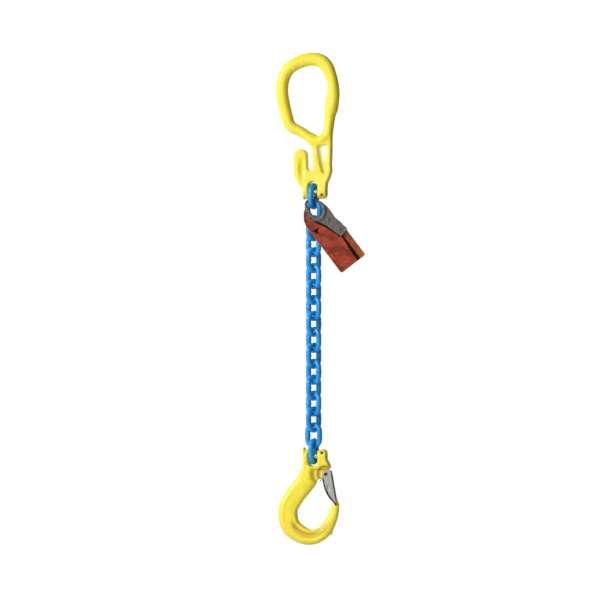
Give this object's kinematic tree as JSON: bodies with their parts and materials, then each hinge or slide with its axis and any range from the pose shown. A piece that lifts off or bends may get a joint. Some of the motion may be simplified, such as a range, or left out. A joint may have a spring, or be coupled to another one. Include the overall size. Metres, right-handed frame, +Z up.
{
  "type": "chain sling",
  "caption": "Chain sling with a forged eye and shortening grab, a short-link chain leg, a clevis sling hook with a spring latch, and an identity tag.",
  "frame": {"origin": "the lifting point, at the inner top of the eye", "axes": "+Z up along the hanging sling, -Y towards the front, load pins along X"},
  "size_m": [0.1373, 0.035, 0.7409],
  "materials": {
    "yellow_paint": "powder coat over a forged surface",
    "blue_paint": "glossy paint over bent bar",
    "plated_steel": "dull zinc plate",
    "dark_steel": "dark spring steel",
    "red_plastic": "moulded, slightly worn",
    "orange_plastic": "moulded, slightly worn"
  },
  "bodies": {
    "grab": {"master_grab": "yellow_paint", "top_load_pin": "plated_steel", "top_lock_pin": "plated_steel"},
    "link_01": {"chain_link_01": "blue_paint"},
    "link_02": {"chain_link_02": "blue_paint"},
    "link_03": {"chain_link_03": "blue_paint"},
    "link_04": {"chain_link_04": "blue_paint"},
    "link_05": {"chain_link_05": "blue_paint"},
    "link_06": {"chain_link_06": "blue_paint"},
    "link_07": {"chain_link_07": "blue_paint"},
    "link_08": {"chain_link_08": "blue_paint"},
    "link_09": {"chain_link_09": "blue_paint"},
    "link_10": {"chain_link_10": "blue_paint"},
    "link_11": {"chain_link_11": "blue_paint"},
    "link_12": {"chain_link_12": "blue_paint"},
    "link_13": {"chain_link_13": "blue_paint"},
    "link_14": {"chain_link_14": "blue_paint"},
    "link_15": {"chain_link_15": "blue_paint"},
    "link_16": {"chain_link_16": "blue_paint"},
    "link_17": {"chain_link_17": "blue_paint"},
    "hook": {"sling_hook": "yellow_paint", "hook_load_pin": "plated_steel", "hook_lock_pin": "plated_steel", "latch_pin": "dark_steel", "latch_spring": "dark_steel"},
    "latch": {"latch": "plated_steel"},
    "tag": {"tag_clip": "plated_steel", "tag_front_leaf": "red_plastic", "tag_rear_leaf": "orange_plastic", "tag_rivet_upper": "plated_steel", "tag_rivet_lower": "plated_steel"}
  },
  "joints": [
    {"name": "link_01_swing", "type": "hinge", "parent": "grab", "child": "link_01", "pos_m": [0.0068, 0, -0.1898], "axis": [1, 0, 0], "range_deg": [-60, 60]},
    {"name": "link_02_swing", "type": "hinge", "parent": "link_01", "child": "link_02", "pos_m": [0.0068, 0, -0.2128], "axis": [-0.2419, -0.9703, 0], "range_deg": [-60, 0]},
    {"name": "link_03_swing", "type": "hinge", "parent": "link_02", "child": "link_03", "pos_m": [0.0068, 0, -0.2368], "axis": [-0.9063, 0.4226, 0], "range_deg": [-60, 0]},
    {"name": "link_04_swing", "type": "hinge", "parent": "link_03", "child": "link_04", "pos_m": [0.0068, 0, -0.2608], "axis": [0.5736, 0.8191, 0], "range_deg": [-15, 75]},
    {"name": "link_05_swing", "type": "hinge", "parent": "link_04", "child": "link_05", "pos_m": [0.0068, 0, -0.2848], "axis": [0.8191, -0.5736, 0], "range_deg": [-75, 75]},
    {"name": "link_06_swing", "type": "hinge", "parent": "link_05", "child": "link_06", "pos_m": [0.0068, 0, -0.3088], "axis": [-0.5736, -0.8191, 0], "range_deg": [-75, 75]},
    {"name": "link_07_swing", "type": "hinge", "parent": "link_06", "child": "link_07", "pos_m": [0.0068, 0, -0.3328], "axis": [-0.8191, 0.5736, 0], "range_deg": [-75, 75]},
    {"name": "link_08_swing", "type": "hinge", "parent": "link_07", "child": "link_08", "pos_m": [0.0068, 0, -0.3568], "axis": [0.5736, 0.8191, 0], "range_deg": [-75, 75]},
    {"name": "link_09_swing", "type": "hinge", "parent": "link_08", "child": "link_09", "pos_m": [0.0068, 0, -0.3808], "axis": [0.8191, -0.5736, 0], "range_deg": [-75, 75]},
    {"name": "link_10_swing", "type": "hinge", "parent": "link_09", "child": "link_10", "pos_m": [0.0068, 0, -0.4048], "axis": [-0.5736, -0.8191, 0], "range_deg": [-75, 75]},
    {"name": "link_11_swing", "type": "hinge", "parent": "link_10", "child": "link_11", "pos_m": [0.0068, 0, -0.4288], "axis": [-0.8191, 0.5736, 0], "range_deg": [-75, 75]},
    {"name": "link_12_swing", "type": "hinge", "parent": "link_11", "child": "link_12", "pos_m": [0.0068, 0, -0.4528], "axis": [0.5736, 0.8191, 0], "range_deg": [-75, 75]},
    {"name": "link_13_swing", "type": "hinge", "parent": "link_12", "child": "link_13", "pos_m": [0.0068, 0, -0.4768], "axis": [0.8191, -0.5736, 0], "range_deg": [-75, 75]},
    {"name": "link_14_swing", "type": "hinge", "parent": "link_13", "child": "link_14", "pos_m": [0.0068, 0, -0.5008], "axis": [-0.5736, -0.8191, 0], "range_deg": [-75, 75]},
    {"name": "link_15_swing", "type": "hinge", "parent": "link_14", "child": "link_15", "pos_m": [0.0068, 0, -0.5248], "axis": [-0.8191, 0.5736, 0], "range_deg": [-75, 75]},
    {"name": "link_16_swing", "type": "hinge", "parent": "link_15", "child": "link_16", "pos_m": [0.0068, 0, -0.5488], "axis": [0.5736, 0.8191, 0], "range_deg": [-75, 75]},
    {"name": "link_17_swing", "type": "hinge", "parent": "link_16", "child": "link_17", "pos_m": [0.0068, 0, -0.5728], "axis": [0.9135, -0.4067, 0], "range_deg": [-75, 75]},
    {"name": "hook_swing", "type": "hinge", "parent": "link_17", "child": "hook", "pos_m": [0.0068, 0, -0.5875], "axis": [1, 0, 0], "range_deg": [-60, 60]},
    {"name": "latch_hinge", "type": "hinge", "parent": "hook", "child": "latch", "pos_m": [0.026, 0, -0.6145], "axis": [0, 1, 0], "range_deg": [0, 35], "stiffness_Nm_per_rad": 0.12, "springref_deg": -34.38, "deforming": ["latch_spring"]},
    {"name": "tag_lift", "type": "hinge", "parent": "link_01", "child": "tag", "pos_m": [0.0044, -0.0043, -0.19925], "axis": [-0.97, 0.05, -0.238], "range_deg": [0, 45]}
  ]
}
